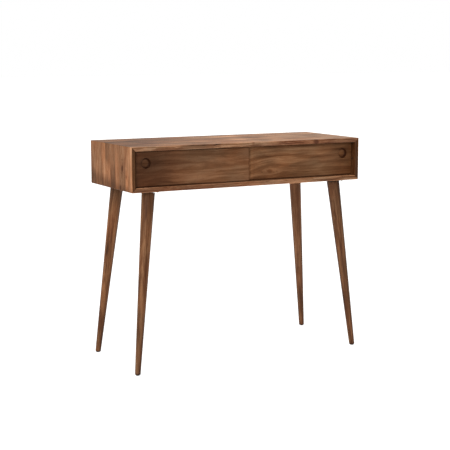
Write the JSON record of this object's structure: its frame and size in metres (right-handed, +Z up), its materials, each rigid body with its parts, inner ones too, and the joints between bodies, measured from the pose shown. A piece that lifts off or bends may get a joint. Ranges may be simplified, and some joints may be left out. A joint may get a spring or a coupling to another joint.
{
  "type": "console table",
  "caption": "Low mitred wooden case with two sliding doors and round finger cups, on tapered legs that splay outwards; stands against a wall.",
  "frame": {"origin": "on the floor under the middle of the case", "axes": "+X to the right along the width as seen from the doors' side, +Y from the doors to the back, +Z up"},
  "size_m": [0.89, 0.366, 0.762],
  "materials": {
    "case_wood": "satin oiled walnut, straight and streaky grain",
    "door_wood": "satin oiled walnut, flowing cathedral figure",
    "leg_wood": "satin oiled walnut, grain along the leg",
    "plywood": "plain walnut-faced plywood",
    "black_steel": "black phosphate",
    "zinc_steel": "bright zinc plate",
    "nylon": "matt moulded nylon",
    "felt": "dark self-adhesive pad"
  },
  "bodies": {
    "table_frame": {"top_panel": "case_wood", "bottom_panel": "case_wood", "left_side_panel": "case_wood", "right_side_panel": "case_wood", "back_panel": "plywood", "centre_divider": "case_wood", "mitre_spline_top_left": "plywood", "mitre_spline_top_right": "plywood", "mitre_spline_bottom_left": "plywood", "mitre_spline_bottom_right": "plywood", "front_track_strip": "nylon", "rear_track_strip": "nylon", "front_track_left_bumper": "felt", "front_track_right_bumper": "felt", "rear_track_left_bumper": "felt", "rear_track_right_bumper": "felt", "back_panel_upper_screw_1": "zinc_steel", "back_panel_lower_screw_1": "zinc_steel", "back_panel_upper_screw_2": "zinc_steel", "back_panel_lower_screw_2": "zinc_steel", "back_panel_upper_screw_3": "zinc_steel", "back_panel_lower_screw_3": "zinc_steel", "back_panel_upper_screw_4": "zinc_steel", "back_panel_lower_screw_4": "zinc_steel", "front_left_leg": "leg_wood", "front_left_hanger_bolt": "zinc_steel", "front_left_leg_plate": "black_steel", "front_left_foot_glide": "nylon", "front_left_leg_plate_screw_1": "black_steel", "front_left_leg_plate_screw_2": "black_steel", "front_left_leg_plate_screw_3": "black_steel", "front_left_leg_plate_screw_4": "black_steel", "front_right_leg": "leg_wood", "front_right_hanger_bolt": "zinc_steel", "front_right_leg_plate": "black_steel", "front_right_foot_glide": "nylon", "front_right_leg_plate_screw_1": "black_steel", "front_right_leg_plate_screw_2": "black_steel", "front_right_leg_plate_screw_3": "black_steel", "front_right_leg_plate_screw_4": "black_steel", "back_left_leg": "leg_wood", "back_left_hanger_bolt": "zinc_steel", "back_left_leg_plate": "black_steel", "back_left_foot_glide": "nylon", "back_left_leg_plate_screw_1": "black_steel", "back_left_leg_plate_screw_2": "black_steel", "back_left_leg_plate_screw_3": "black_steel", "back_left_leg_plate_screw_4": "black_steel", "back_right_leg": "leg_wood", "back_right_hanger_bolt": "zinc_steel", "back_right_leg_plate": "black_steel", "back_right_foot_glide": "nylon", "back_right_leg_plate_screw_1": "black_steel", "back_right_leg_plate_screw_2": "black_steel", "back_right_leg_plate_screw_3": "black_steel", "back_right_leg_plate_screw_4": "black_steel"},
    "left_door": {"left_door": "door_wood"},
    "right_door": {"right_door": "door_wood"}
  },
  "joints": [
    {"name": "left_door_slide", "type": "slide", "parent": "table_frame", "child": "left_door", "axis": [1, 0, 0], "range_m": [0, 0.4297]},
    {"name": "right_door_slide", "type": "slide", "parent": "table_frame", "child": "right_door", "axis": [1, 0, 0], "range_m": [-0.4137, 0]}
  ]
}
